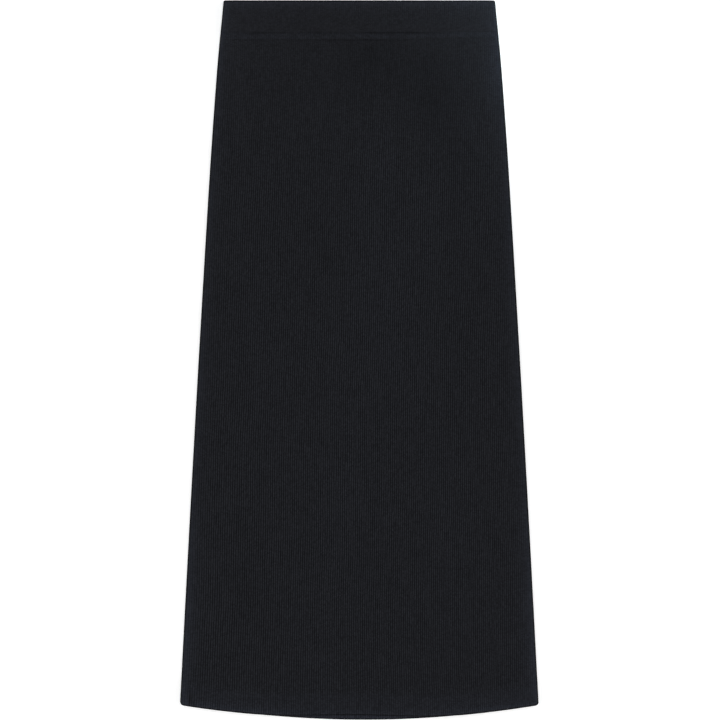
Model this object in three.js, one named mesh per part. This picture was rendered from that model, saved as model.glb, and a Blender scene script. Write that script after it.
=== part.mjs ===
// A rib-knit maxi skirt that lies flat on a table, front side up.
// It is a narrow A-line tube of two panels, a front and a back, with an elasticated waistband in two halves.
// The waistband is cloth folded over elastic. The seam allowance below it is turned down and topstitched,
// and the hem is turned up inside. The front hem lies a little higher than the back hem.
// Units are millimetres. X runs across the skirt, +Y towards the waist and +Z up from the table.
// The origin is on the table, under the middle of the skirt.

import * as THREE from "three";
import { mergeVertices } from "three/addons/utils/BufferGeometryUtils.js";

// Lengths, measured down the skirt or up from the hem
const LENGTH = 900; // top fold of the waistband to the lowest point of the back hem
const BAND_HEIGHT = 40; // top fold to waist seam
const SEAM_GAP = 0.3; // sewn pieces lie this far apart
const ALLOWANCE = 9; // waist seam to topstitching
const BAND_DRAPE = 62; // below the topstitching, where the front sinks to lie on the back
const HEM_TURN = 27; // cloth turned up inside the hem
const HEM_DROP = 18.2; // the hem is this much lower at the centre than at the sides
const HEM_SHOW = 6.7; // back hem that shows below the front hem at the centre
const HEM_SHOW_REACH = 165; // distance from the centre at which the two hems meet
const CORNER = 5; // radius of the corners between side and hem, seen from above

// Thicknesses
const CLOTH = 1.2; // knit, without the relief of its ribs
const TURNED = 1.0; // what a turned-in layer adds
const ELASTIC = 1.2; // inside the waistband
const BAND_WALL = 2 * CLOTH + ELASTIC;
const LAYER_GAP = 0.3; // front and back lie this far apart
const RIB_HEIGHT = 0.6;

// Ribs: they run down the cloth, nearly parallel, and run out at the slanting sides
const PITCH_AT_WAIST = 2.62;
const PITCH_AT_HEM = 2.75;
const CREST_SHARE = 0.6; // of the pitch that is flat rib, the rest is a narrow groove

// Small forms on the cloth
const DIMPLE = 0.5; // depth that stitching presses into the cloth
const DIMPLE_REACH = 1.3; // to either side of the stitching
const HEM_SLOPE = 8; // length in which the cloth steps up over the turned-up hem
const FOLD_ROUND = 1.5; // rounding of the top fold and the hem fold
const ROUND_STEPS = [1 / 3, 2 / 3, 1]; // of a quarter turn, at the rounded sides

// Plan of the points
const PANEL_INSET = 2.2; // the outer face starts to round off this far inside the side outline
const PANEL_INNER_INSET = 3;
const BAND_INSET = BAND_WALL;
const BAND_INNER_INSET = 4.5;
const PLAIN_SPACING = 40; // between lines of points on a plain face
const CLOSEST = 0.5; // points of a line keep this far apart
const MERGE = 1e-3; // points closer than this are one
const HEM_CORNER_REACH = 60; // above the hem, where the rounded side starts to follow the hem's curve

// Side outline: half of the skirt's width at distances down from the top fold
const OUTLINE = [
  { down: 0, half: 169.6 },
  { down: 25, half: 171.9 },
  { down: 50, half: 174.5 },
  { down: 75, half: 176.8 },
  { down: 125, half: 180.7 },
  { down: 200, half: 185.9 },
  { down: 300, half: 192.1 },
  { down: 450, half: 200.9 },
  { down: 600, half: 209.3 },
  { down: 750, half: 217.4 },
  { down: 900, half: 225.2 },
];

const HALF_AT_HEM = OUTLINE.at(-1).half;
const HEM_RADIUS = (HALF_AT_HEM ** 2 + HEM_DROP ** 2) / (2 * HEM_DROP);

// A smooth curve through the rows of the outline table
function halfWidth(down) {
  const last = OUTLINE.length - 1;
  const found = OUTLINE.findIndex((row) => row.down >= down);
  const i = Math.max(found, 1) - 1;
  const slope = (k) => {
    const before = OUTLINE[Math.max(k - 1, 0)];
    const after = OUTLINE[Math.min(k + 1, last)];
    return (after.half - before.half) / (after.down - before.down);
  };
  const step = OUTLINE[i + 1].down - OUTLINE[i].down;
  const rise = OUTLINE[i + 1].half - OUTLINE[i].half;
  const t = (down - OUTLINE[i].down) / step;
  const start = slope(i) * step;
  const end = slope(i + 1) * step;
  const square = (3 * rise - 2 * start - end) * t ** 2;
  const cube = (start + end - 2 * rise) * t ** 3;
  return OUTLINE[i].half + start * t + square + cube;
}

// How far down the back hem is at x, with rounded corners at the sides
function backHem(x) {
  const sag = HEM_RADIUS - Math.sqrt(HEM_RADIUS ** 2 - x ** 2);
  const past = Math.min(Math.max(x - (HALF_AT_HEM - CORNER), 0), CORNER);
  return LENGTH - sag - (CORNER - Math.sqrt(CORNER ** 2 - past ** 2));
}

// The front hem is drawn up at the centre, so that the inside of the back hem shows
function frontHem(x) {
  const share = Math.min(x / HEM_SHOW_REACH, 1);
  return backHem(x) - HEM_SHOW * Math.cos((share * Math.PI) / 2) ** 2;
}

const bandEdge = () => BAND_HEIGHT - SEAM_GAP;

// Width of a rib at a distance down the skirt, as a share of its width at the hem
const fan = (down) => THREE.MathUtils.lerp(PITCH_AT_WAIST, PITCH_AT_HEM, down / LENGTH) / PITCH_AT_HEM;

// Lines of points for a ribbed face, from the centre out: across is where a line is at the hem
function ribColumns() {
  const crest = (CREST_SHARE / 2) * PITCH_AT_HEM;
  const columns = [{ across: 0, up: RIB_HEIGHT }];
  for (let middle = 0; middle <= HALF_AT_HEM; middle += PITCH_AT_HEM) {
    if (middle > 0) columns.push({ across: middle - crest, up: RIB_HEIGHT });
    columns.push({ across: middle + crest, up: RIB_HEIGHT });
    columns.push({ across: middle + PITCH_AT_HEM / 2, up: 0 });
  }
  return columns;
}

function plainColumns() {
  const count = Math.floor(HALF_AT_HEM / PLAIN_SPACING) + 1;
  return Array.from({ length: count }, (_, i) => ({ across: i * PLAIN_SPACING, up: 0 }));
}

// A face's rows at x: those given from the top, then those given from the lower edge
function rowsAt(x, face) {
  const lower = face.lowerRows.map((row) => ({ down: face.lowerEdge(x) - row.up, z: row.z }));
  return [...face.topRows, ...lower];
}

// Where a distance down lies among the rows: place 2.5 is halfway between the rows 2 and 3
function among(down, rows) {
  const next = Math.max(rows.findIndex((row) => row.down >= down), 1);
  const from = rows[next - 1];
  const to = rows[next];
  const share = (down - from.down) / (to.down - from.down);
  return { place: next - 1 + share, z: THREE.MathUtils.lerp(from.z, to.z, share) };
}

// How far down a line of points meets the side of its face, or null if it starts at the top
function runOut(across, face) {
  const outside = (down) => across * fan(down) - (halfWidth(down) - face.inset);
  let low = face.topRows[0].down;
  let high = face.lowerEdge(across) - CLOSEST;
  if (outside(low) <= -CLOSEST) return null;
  while (high - low > MERGE) {
    const middle = (low + high) / 2;
    if (outside(middle) > 0) low = middle;
    else high = middle;
  }
  return Math.max(high, face.topRows[0].down + CLOSEST);
}

// Lays out one half of a face as lines of points that run down the cloth, from the centre line to the side.
// Neighbouring lines are given in pairs. Where a line runs out, its pair borders on a stretch of the side.
function layOut(face, seamRows) {
  const side = (down) => halfWidth(down) - face.inset;
  const end = side(face.lowerEdge(HALF_AT_HEM - face.inset));
  const lines = face.columns
    .filter((column) => column.across < end - CLOSEST)
    .map(({ across, up }) => {
      const rows = rowsAt(across, face);
      const points = rows.map(({ down, z }, place) => ({ x: across * fan(down), down, z: z + up, place }));
      const start = runOut(across, face);
      if (start === null) return { points };
      const { place, z } = among(start, rows);
      const first = { x: side(start), down: start, z: z + up, place };
      return { first, points: [first, ...points.filter((point) => point.down > start + CLOSEST)] };
    });

  const sideRows = rowsAt(end, face);
  const boundary = lines.filter((line) => line.first).map((line) => line.first);
  for (const { down } of [...sideRows, ...seamRows, ...OUTLINE]) {
    if (down < sideRows[0].down || down > sideRows.at(-1).down) continue;
    if (boundary.some((point) => Math.abs(point.down - down) < CLOSEST)) continue;
    boundary.push({ x: side(down), down, ...among(down, sideRows) });
  }
  boundary.sort((a, b) => a.down - b.down);

  const pairs = [];
  let from = 0;
  for (let i = 1; i < lines.length; i += 1) {
    const { first, points } = lines[i];
    const to = first ? boundary.indexOf(first) : 0;
    pairs.push([lines[i - 1].points, first ? [...boundary.slice(from, to), ...points] : points]);
    from = to;
  }
  pairs.push([lines.at(-1).points, boundary.slice(from)]);

  const top = [...lines.filter((line) => !line.first).map((line) => line.points[0]), boundary[0]];
  const lower = [...lines.map((line) => line.points.at(-1)), boundary.at(-1)];
  return { pairs, top, lower, boundary };
}

// The rounded side: lines that follow the boundary out and over to the height of the side seam
function roundSide(boundary, face, seamRows) {
  const end = boundary.at(-1);
  const bend = end.down - HEM_CORNER_REACH;
  const followsHem = face.lowerEdge !== bandEdge;
  return ROUND_STEPS.map((step) => {
    const turn = (step * Math.PI) / 2;
    const out = face.inset * Math.sin(turn);
    const newEnd = face.lowerEdge(end.x + out);
    return boundary.map((point) => {
      const squeezed = followsHem && point.down > bend;
      const toHem = THREE.MathUtils.mapLinear(point.down, bend, end.down, bend, newEnd);
      const down = squeezed ? toHem : point.down;
      const seam = among(point.down, seamRows).z;
      const z = seam + (point.z - seam) * Math.cos(turn);
      return { x: halfWidth(down) - face.inset + out, down, z, place: point.place };
    });
  });
}

// Joins two lines of points with triangles, in step with each other
function zip(a, b, key, emit) {
  let i = 0;
  let j = 0;
  while (i < a.length - 1 || j < b.length - 1) {
    const onA = j === b.length - 1 || (i < a.length - 1 && a[i + 1][key] <= b[j + 1][key]);
    const next = onA ? a[i + 1] : b[j + 1];
    if (a[i] !== b[j] && next !== a[i] && next !== b[j]) emit(a[i], b[j], next);
    if (onA) i += 1;
    else j += 1;
  }
}

// Closes an outer and an inner face into one solid, and mirrors it to the other half of the skirt
function solid({ outer, inner, seamRows, facesUp }) {
  const corners = [];
  const put = (side, ...points) => {
    for (const point of points) corners.push(side * point.x, LENGTH / 2 - point.down, point.z);
  };
  const facing = (up) => (p, q, r) => {
    const [second, third] = up ? [r, q] : [q, r];
    put(1, p, second, third);
    put(-1, p, third, second);
  };
  const outwards = facing(facesUp);
  const inwards = facing(!facesUp);

  const outside = layOut(outer, seamRows);
  const inside = layOut(inner, seamRows);
  const rounds = roundSide(outside.boundary, outer, seamRows);
  for (const [a, b] of outside.pairs) zip(a, b, "place", outwards);
  for (const [a, b] of inside.pairs) zip(a, b, "place", inwards);
  let edge = outside.boundary;
  for (const line of rounds) {
    zip(edge, line, "place", outwards);
    edge = line;
  }
  zip(edge, inside.boundary, "down", outwards);
  zip([...outside.top, ...rounds.map((line) => line[0])], inside.top, "x", outwards);
  zip([...outside.lower, ...rounds.map((line) => line.at(-1))], inside.lower, "x", inwards);

  const geometry = new THREE.BufferGeometry();
  geometry.setAttribute("position", new THREE.Float32BufferAttribute(corners, 3));
  const merged = mergeVertices(geometry, MERGE);
  merged.computeVertexNormals();
  return merged;
}

// Heights above the table. The back lies on it, and the front lies on the back.
const BACK_INSIDE = CLOTH;
const BACK_INSIDE_DOUBLED = CLOTH + TURNED;
const FRONT_INSIDE = BACK_INSIDE + LAYER_GAP;
const FRONT_INSIDE_DOUBLED = BACK_INSIDE_DOUBLED + LAYER_GAP;
const FRONT_OUTSIDE = FRONT_INSIDE + CLOTH;
const FRONT_OUTSIDE_DOUBLED = FRONT_INSIDE_DOUBLED + CLOTH + TURNED;
const BAND_FRONT_INSIDE = BAND_WALL + LAYER_GAP;
const BAND_FRONT_OUTSIDE = BAND_FRONT_INSIDE + BAND_WALL;

// Rows of points, from the top down and then from the lower edge
const PANEL_TOP = BAND_HEIGHT + SEAM_GAP;
const STITCHING = BAND_HEIGHT + ALLOWANCE;

const frontOuter = {
  columns: ribColumns(),
  inset: PANEL_INSET,
  lowerEdge: frontHem,
  topRows: [
    { down: PANEL_TOP, z: FRONT_OUTSIDE_DOUBLED - DIMPLE },
    { down: PANEL_TOP + DIMPLE_REACH, z: FRONT_OUTSIDE_DOUBLED },
    { down: STITCHING - DIMPLE_REACH, z: FRONT_OUTSIDE_DOUBLED },
    { down: STITCHING, z: FRONT_OUTSIDE_DOUBLED - DIMPLE },
    { down: STITCHING + DIMPLE_REACH, z: FRONT_OUTSIDE_DOUBLED - DIMPLE / 2 },
    { down: STITCHING + BAND_DRAPE, z: FRONT_OUTSIDE },
  ],
  lowerRows: [
    { up: HEM_TURN + HEM_SLOPE, z: FRONT_OUTSIDE },
    { up: HEM_TURN, z: FRONT_OUTSIDE_DOUBLED },
    { up: FOLD_ROUND, z: FRONT_OUTSIDE_DOUBLED },
    { up: 0, z: (FRONT_OUTSIDE_DOUBLED + FRONT_INSIDE_DOUBLED) / 2 },
  ],
};

const frontInner = {
  columns: plainColumns(),
  inset: PANEL_INNER_INSET,
  lowerEdge: frontHem,
  topRows: [
    { down: PANEL_TOP, z: FRONT_INSIDE_DOUBLED },
    { down: STITCHING, z: FRONT_INSIDE_DOUBLED },
    { down: STITCHING + BAND_DRAPE, z: FRONT_INSIDE },
  ],
  lowerRows: [
    { up: HEM_TURN + HEM_SLOPE, z: FRONT_INSIDE },
    { up: HEM_TURN + DIMPLE_REACH, z: FRONT_INSIDE_DOUBLED },
    { up: FOLD_ROUND / 2, z: FRONT_INSIDE_DOUBLED },
  ],
};

const backOuter = {
  columns: plainColumns(),
  inset: PANEL_INSET,
  lowerEdge: backHem,
  topRows: [{ down: PANEL_TOP, z: 0 }],
  lowerRows: [
    { up: FOLD_ROUND, z: 0 },
    { up: 0, z: BACK_INSIDE_DOUBLED / 2 },
  ],
};

const backInner = {
  columns: plainColumns(),
  inset: PANEL_INNER_INSET,
  lowerEdge: backHem,
  topRows: [
    { down: PANEL_TOP, z: BACK_INSIDE_DOUBLED },
    { down: STITCHING, z: BACK_INSIDE_DOUBLED },
    { down: STITCHING + DIMPLE_REACH, z: BACK_INSIDE },
  ],
  lowerRows: [
    { up: HEM_TURN + DIMPLE_REACH, z: BACK_INSIDE },
    { up: HEM_TURN, z: BACK_INSIDE_DOUBLED },
    { up: FOLD_ROUND / 2, z: BACK_INSIDE_DOUBLED },
  ],
};

const bandFrontOuter = {
  columns: ribColumns(),
  inset: BAND_INSET,
  lowerEdge: bandEdge,
  topRows: [
    { down: 0, z: (BAND_FRONT_INSIDE + BAND_FRONT_OUTSIDE) / 2 },
    { down: FOLD_ROUND, z: BAND_FRONT_OUTSIDE },
  ],
  lowerRows: [
    { up: FOLD_ROUND, z: BAND_FRONT_OUTSIDE },
    { up: 0, z: FRONT_OUTSIDE_DOUBLED },
  ],
};

const bandFrontInner = {
  columns: plainColumns(),
  inset: BAND_INNER_INSET,
  lowerEdge: bandEdge,
  topRows: [{ down: FOLD_ROUND / 2, z: BAND_FRONT_INSIDE }],
  lowerRows: [{ up: 0, z: BAND_FRONT_INSIDE }],
};

const bandBackOuter = {
  columns: plainColumns(),
  inset: BAND_INSET,
  lowerEdge: bandEdge,
  topRows: [
    { down: 0, z: BAND_WALL / 2 },
    { down: FOLD_ROUND, z: 0 },
  ],
  lowerRows: [{ up: 0, z: 0 }],
};

const bandBackInner = {
  columns: plainColumns(),
  inset: BAND_INNER_INSET,
  lowerEdge: bandEdge,
  topRows: [{ down: FOLD_ROUND / 2, z: BAND_WALL }],
  lowerRows: [{ up: 0, z: BAND_WALL }],
};

// Heights of the side seams: the front's inside, carried on to the end of the side, and just below it
const seamEnd = { up: -CORNER, z: FRONT_INSIDE_DOUBLED };
const frontSeam = rowsAt(HALF_AT_HEM - CORNER, {
  ...frontInner,
  lowerRows: [...frontInner.lowerRows, seamEnd],
});
const backSeam = frontSeam.map((row) => ({ ...row, z: row.z - LAYER_GAP }));
const level = (z) => [
  { down: 0, z },
  { down: BAND_HEIGHT, z },
];

function piece(name, shape) {
  const knit = new THREE.MeshStandardMaterial({ color: 0x1c1d20, roughness: 0.95, metalness: 0 });
  const mesh = new THREE.Mesh(solid(shape), knit);
  mesh.name = name;
  return mesh;
}

const skirt = new THREE.Group();
skirt.add(
  piece("front_panel", { outer: frontOuter, inner: frontInner, seamRows: frontSeam, facesUp: true }),
  piece("back_panel", { outer: backOuter, inner: backInner, seamRows: backSeam, facesUp: false }),
  piece("waistband_front", {
    outer: bandFrontOuter,
    inner: bandFrontInner,
    seamRows: level(BAND_FRONT_INSIDE),
    facesUp: true,
  }),
  piece("waistband_back", {
    outer: bandBackOuter,
    inner: bandBackInner,
    seamRows: level(BAND_WALL),
    facesUp: false,
  }),
);

export default skirt;
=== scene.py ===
# %% [markdown]
# # A rib-knit maxi skirt, laid flat
# The skirt lies on a table with its front up, and the camera looks straight down on it.
# Its construction is fixed already: two panels and two waistband halves, loaded below as a frame.
# This lesson gives each of them its cloth: ribs, a turned hem, a sewn waist, stitches and a finish.
# Lengths are in millimetres until a mesh is made, and heights are above the table.

import bpy
import numpy as np
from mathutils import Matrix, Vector


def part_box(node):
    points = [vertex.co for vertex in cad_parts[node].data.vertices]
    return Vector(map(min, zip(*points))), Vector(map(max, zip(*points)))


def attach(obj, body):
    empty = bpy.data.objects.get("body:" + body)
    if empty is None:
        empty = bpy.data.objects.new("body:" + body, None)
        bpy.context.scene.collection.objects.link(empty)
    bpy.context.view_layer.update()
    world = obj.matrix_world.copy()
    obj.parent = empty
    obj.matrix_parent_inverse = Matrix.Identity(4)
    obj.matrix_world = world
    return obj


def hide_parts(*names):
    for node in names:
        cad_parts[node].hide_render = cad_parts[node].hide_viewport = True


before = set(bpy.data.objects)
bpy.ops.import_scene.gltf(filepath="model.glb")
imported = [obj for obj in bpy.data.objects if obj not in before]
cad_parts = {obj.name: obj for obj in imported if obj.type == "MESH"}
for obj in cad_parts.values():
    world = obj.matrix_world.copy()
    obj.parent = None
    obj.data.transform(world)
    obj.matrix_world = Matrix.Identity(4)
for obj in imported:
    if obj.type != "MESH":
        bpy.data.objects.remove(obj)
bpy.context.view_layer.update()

MM = 0.001


def add_object(name, data):
    made = bpy.data.objects.new(name, data)
    bpy.context.scene.collection.objects.link(made)
    return made


# %% [markdown]
# ## Heights and edges from the frame
# The cloth has to lie exactly where the solids lie, so its heights are read from their boxes
# and not typed in. A box only gives the outermost points. What lies between them follows from how
# the skirt is stacked: back panel, then front panel, each doubled where something is turned in.

# %% Read the heights of the layers
def limits(node):
    low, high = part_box(node)
    return np.array(low) / MM, np.array(high) / MM


RIB_HEIGHT = 0.6
TURNED_IN = 1.0  # what a second layer of cloth adds
LAYER_GAP = 0.3

front_low, front_high = limits("front_panel")
back_low, back_high = limits("back_panel")
band_low, band_high = limits("waistband_front")
under_high = limits("waistband_back")[1]

TOP = band_high[1]
LENGTH = TOP - back_low[1]
BAND_SEAM = TOP - band_low[1]
PANEL_TOP = TOP - front_high[1]
back_inside_doubled = back_high[2]
back_inside = back_inside_doubled - TURNED_IN
front_inside = front_low[2]
front_inside_doubled = front_inside + TURNED_IN
front_doubled = front_high[2] - RIB_HEIGHT
front_single = front_doubled - 2 * TURNED_IN
band_outside = band_high[2] - RIB_HEIGHT
print(f"skirt {LENGTH:.1f} long, waist seam {BAND_SEAM:.1f} down, front {front_single:.1f} high")

# %% [markdown]
# ## The outline
# The side seams are cut to a gentle curve: they open fast over the hip and then run nearly straight.
# A short table of widths with a smooth curve through it says this best, because each row is a
# measure that a pattern cutter would take. The hem is an arc with a small round corner at each side.
# No sewn hem is a perfect arc: this one hangs a little lower on the right and is drawn up on the
# left. The front hem is also drawn up in the middle, so that a sliver of the back hem shows.

# %% Draw the side outline
OUTLINE = np.array([  # down, half of the width
    (0, 169.6),
    (25, 171.9),
    (50, 174.5),
    (75, 176.8),
    (125, 180.7),
    (200, 185.9),
    (300, 192.1),
    (450, 200.9),
    (600, 209.3),
    (750, 217.4),
    (900, 225.2),
])
ROLLED_OUT = 0.42  # cloth rolls out this far past the cut line at its folded edges
OUTLINE[:, 1] += ROLLED_OUT
OUTLINE_SLOPE = np.gradient(OUTLINE[:, 1]) / np.gradient(OUTLINE[:, 0])
HALF_AT_HEM = OUTLINE[-1, 1]


def half_width(down):
    """Half of the skirt's width at distances down from the top fold."""
    i = np.clip(np.searchsorted(OUTLINE[:, 0], down) - 1, 0, len(OUTLINE) - 2)
    step = OUTLINE[i + 1, 0] - OUTLINE[i, 0]
    rise = OUTLINE[i + 1, 1] - OUTLINE[i, 1]
    t = (down - OUTLINE[i, 0]) / step
    start, end = OUTLINE_SLOPE[i] * step, OUTLINE_SLOPE[i + 1] * step
    square = (3 * rise - 2 * start - end) * t**2
    cube = (start + end - 2 * rise) * t**3
    return OUTLINE[i, 1] + start * t + square + cube


print("half widths at waist, hip and hem:", half_width(np.array([0, 200, 880])).round(1))

# %% Draw the two hems
HEM_DROP = 18.2  # how much higher the hem ends at the sides than in the middle
HEM_RADIUS = (HALF_AT_HEM**2 + HEM_DROP**2) / (2 * HEM_DROP)
HEM_CORNER = 5.0
HEM_LOWER = 0.20
HEM_UNEVEN = ((60, 95, 0.50), (-120, 60, -0.55))  # x, half length, how much lower
HEM_SHOW = 6.0  # most that the back hem shows below the front hem
HEM_SHOW_REACH = 142.0
HEM_SHOW_MIDDLE = -2.0


def ridge(distance, width):
    """A soft bell, 1 in the middle. Half its width is about 0.8 of width."""
    return np.exp(-((distance / width) ** 2))


def along_skirt(table, x):
    """Adds up soft bells along a seam or hem, each with its place, half length and lift."""
    return sum(lift * ridge(x - at, long) for at, long, lift in table)


def round_corner(past, radius):
    """How far a round corner falls back, a distance past its start."""
    past = np.clip(past, 0, radius)
    return radius - np.sqrt(radius**2 - past**2)


def back_hem(x):
    """Distance down to the hem of the back."""
    uneven = HEM_LOWER + along_skirt(HEM_UNEVEN, x)
    x = np.minimum(np.abs(x), HALF_AT_HEM)
    sag = HEM_RADIUS - np.sqrt(HEM_RADIUS**2 - x**2)
    return LENGTH + uneven - sag - round_corner(x - (HALF_AT_HEM - HEM_CORNER), HEM_CORNER)


def front_hem(x):
    """Distance down to the hem of the front, a little higher in the middle."""
    share = np.minimum(np.abs(x - HEM_SHOW_MIDDLE) / HEM_SHOW_REACH, 1)
    return back_hem(x) - HEM_SHOW * np.cos(share * np.pi / 2) ** 2


TOP_CORNER = 2.2


def top_fold(x):
    """Distance down to the top fold, which has a small round corner at each side."""
    return round_corner(np.abs(x) - (half_width(0.0) - TOP_CORNER), TOP_CORNER)


def inside_outline(x, down):
    """How far a point lies inside the outline of the whole skirt."""
    from_ends = np.minimum(back_hem(x) - down, down - top_fold(x))
    return np.minimum(half_width(down) - np.abs(x), from_ends)


print("hems at the centre:", back_hem(0.0).round(1), front_hem(0.0).round(1))

# %% [markdown]
# ## The ribs
# Fine rib knit is a row of rounded ridges with a narrow groove between them. The ridges follow the
# knitting, so they run straight down the cloth and run out where the side seam cuts across them.
# They could be bump in a material, but then the hem and the sides would be smooth in outline and
# flat in raking light. Here every ridge is in the mesh: five lines of points carry each rib down.
# A real rib wanders and no two are alike, so each has its own height and the lines sway gently.
# Knit also twists as it relaxes: these ribs lean a little to the left on their way down,
# stand closer together on the right side of the hem, and spread over the last hand's width.

# %% Lay out the lines of the ribs
PITCH_AT_WAIST = 2.62
PITCH_AT_HEM = 2.75
RIB_SHAPE = np.array([  # place across the rib, share of its height
    (-0.50, 0.00),
    (-0.35, 0.68),
    (-0.14, 1.00),
    (0.14, 1.00),
    (0.35, 0.68),
])
SPARE_RIBS = 16  # beyond each side, because the ribs lean
rib_reach = int(HALF_AT_HEM / PITCH_AT_HEM) + SPARE_RIBS
rib_numbers = np.arange(-rib_reach, rib_reach + 1)
line_across = (rib_numbers[:, None] + RIB_SHAPE[None, :, 0]).ravel() * PITCH_AT_HEM

WEAKEST_RIB, STRONGEST_RIB = 0.65, 1.12
chance = np.random.default_rng(4)
rib_strength = chance.uniform(WEAKEST_RIB, STRONGEST_RIB, len(rib_numbers))
line_crest = (rib_strength[:, None] * RIB_SHAPE[None, :, 1]).ravel()


def fan(down):
    """Width of a rib at a distance down, as a share of its width at the hem."""
    return (PITCH_AT_WAIST + (PITCH_AT_HEM - PITCH_AT_WAIST) * down / LENGTH) / PITCH_AT_HEM


SWAY = (  # how far, length of a wave down the cloth, lean of the wave across it
    (0.50, 290.0, 0.011),
    (0.22, 131.0, -0.023),
    (0.08, 57.0, 0.041),
)
TWIST = 19.0  # how far the ribs have leaned to the left at the hem
CROWDING = 10.0  # how much further left the outermost ribs lie, which crowds those on the right
FLARE = 3.0  # how far the outermost ribs spread at the hem
FLARE_FROM = 800.0


def rib_x(across, down):
    """Where a rib lies at a distance down. across is its place at the hem of untwisted cloth."""
    far = down / LENGTH
    side = across / HALF_AT_HEM
    x = across * fan(down) - TWIST * (2 * far - far**2) - CROWDING * (side * far) ** 2
    x = x + FLARE * side * np.clip((down - FLARE_FROM) / (LENGTH - FLARE_FROM), 0, 1) ** 2
    for reach, long, lean in SWAY:
        x = x + reach * np.sin(2 * np.pi * down / long + lean * across)
    return x


HEM_MIDDLE = LENGTH - HEM_DROP / 2
line_at_hem = rib_x(line_across, HEM_MIDDLE)
line_at_top = rib_x(line_across, 0.0)
print(len(rib_numbers), "ribs and", len(line_across), "lines of points")

# %% [markdown]
# ## Cloth as a thin closed shell
# Each piece is one shell: a ribbed outer face, a plainer inner face, and edges closed between them.
# A grid with a solidify modifier would be quicker, but it would spend half of its points on the
# hidden side and could not let ribs run out at a slanting edge. So the shell is woven from the rib
# lines directly. Where a line passes the side of the skirt, it ends in the side's own point of that
# row, and the faces beside it narrow to triangles. Hidden faces use only every few lines.
# Ribs are pressed flatter near the waist, where sewing stretches them, at the sides and on the hem.

# %% Weave a shell from the rib lines
RUN_OUT = 0.15  # a line nearer to the side than this ends in the side's own point
PRESSED_FLAT = 0.6  # share of a rib's height that full pressing takes away
PRESSED_AT_WAIST = (0.65, 0.0, 190.0)  # how flat, as far as this, gone after this much more
PRESSED_AT_SIDE = (0.60, 5.0, 22.0)
PRESSED_AT_HEM = (0.30, 24.0, 6.0)


def grid_faces(ids):
    """Faces of a grid of point numbers. Neighbours that are one point give triangles or nothing."""
    a, b, c, d = ids[:-1, :-1], ids[:-1, 1:], ids[1:, 1:], ids[1:, :-1]
    whole = (a != b) & (c != d)
    upper = (a == b) & (c != d)
    lower = (a != b) & (c == d)
    quads = np.stack([g[whole] for g in (a, b, c, d)], axis=1)
    fans = np.stack([g[upper] for g in (a, c, d)], axis=1)
    more = np.stack([g[lower] for g in (a, b, c)], axis=1)
    return quads.tolist() + fans.tolist() + more.tolist()


def zip_faces(one, other, x):
    """Triangles between two rows of point numbers that share both ends, in step across."""
    faces, i, j = [], 0, 0
    while i < len(one) - 1 or j < len(other) - 1:
        on_one = j == len(other) - 1 or (i < len(one) - 1 and x[one[i + 1]] <= x[other[j + 1]])
        new = one[i + 1] if on_one else other[j + 1]
        face = (one[i], new, other[j])
        if len(set(face)) == 3:
            faces.append(face)
        i, j = (i + 1, j) if on_one else (i, j + 1)
    return faces


def rows_of(near_top, between, near_edge, top, edge):
    """Distances down for each row and line: close to the top, spread between, close to the edge."""
    first = top + np.array(near_top)[:, None]
    last = edge - np.array(near_edge)[:, None]
    share = np.linspace(0, 1, between + 2)[1:-1, None]
    return np.vstack([first, first[-1] * (1 - share) + last[0] * share, last])


def pressing(distance, zone):
    flat, reach, fade = zone
    return flat * (1 - np.clip((distance - reach) / fade, 0, 1))


def pressed(x, down, up):
    """How flat the ribs are pressed, from 0 to 1."""
    at_waist = pressing(down - BAND_SEAM, PRESSED_AT_WAIST)
    at_side = pressing(half_width(down) - np.abs(x), PRESSED_AT_SIDE)
    at_hem = pressing(up, PRESSED_AT_HEM)
    return np.maximum(np.maximum(at_waist, at_side), at_hem)


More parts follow.
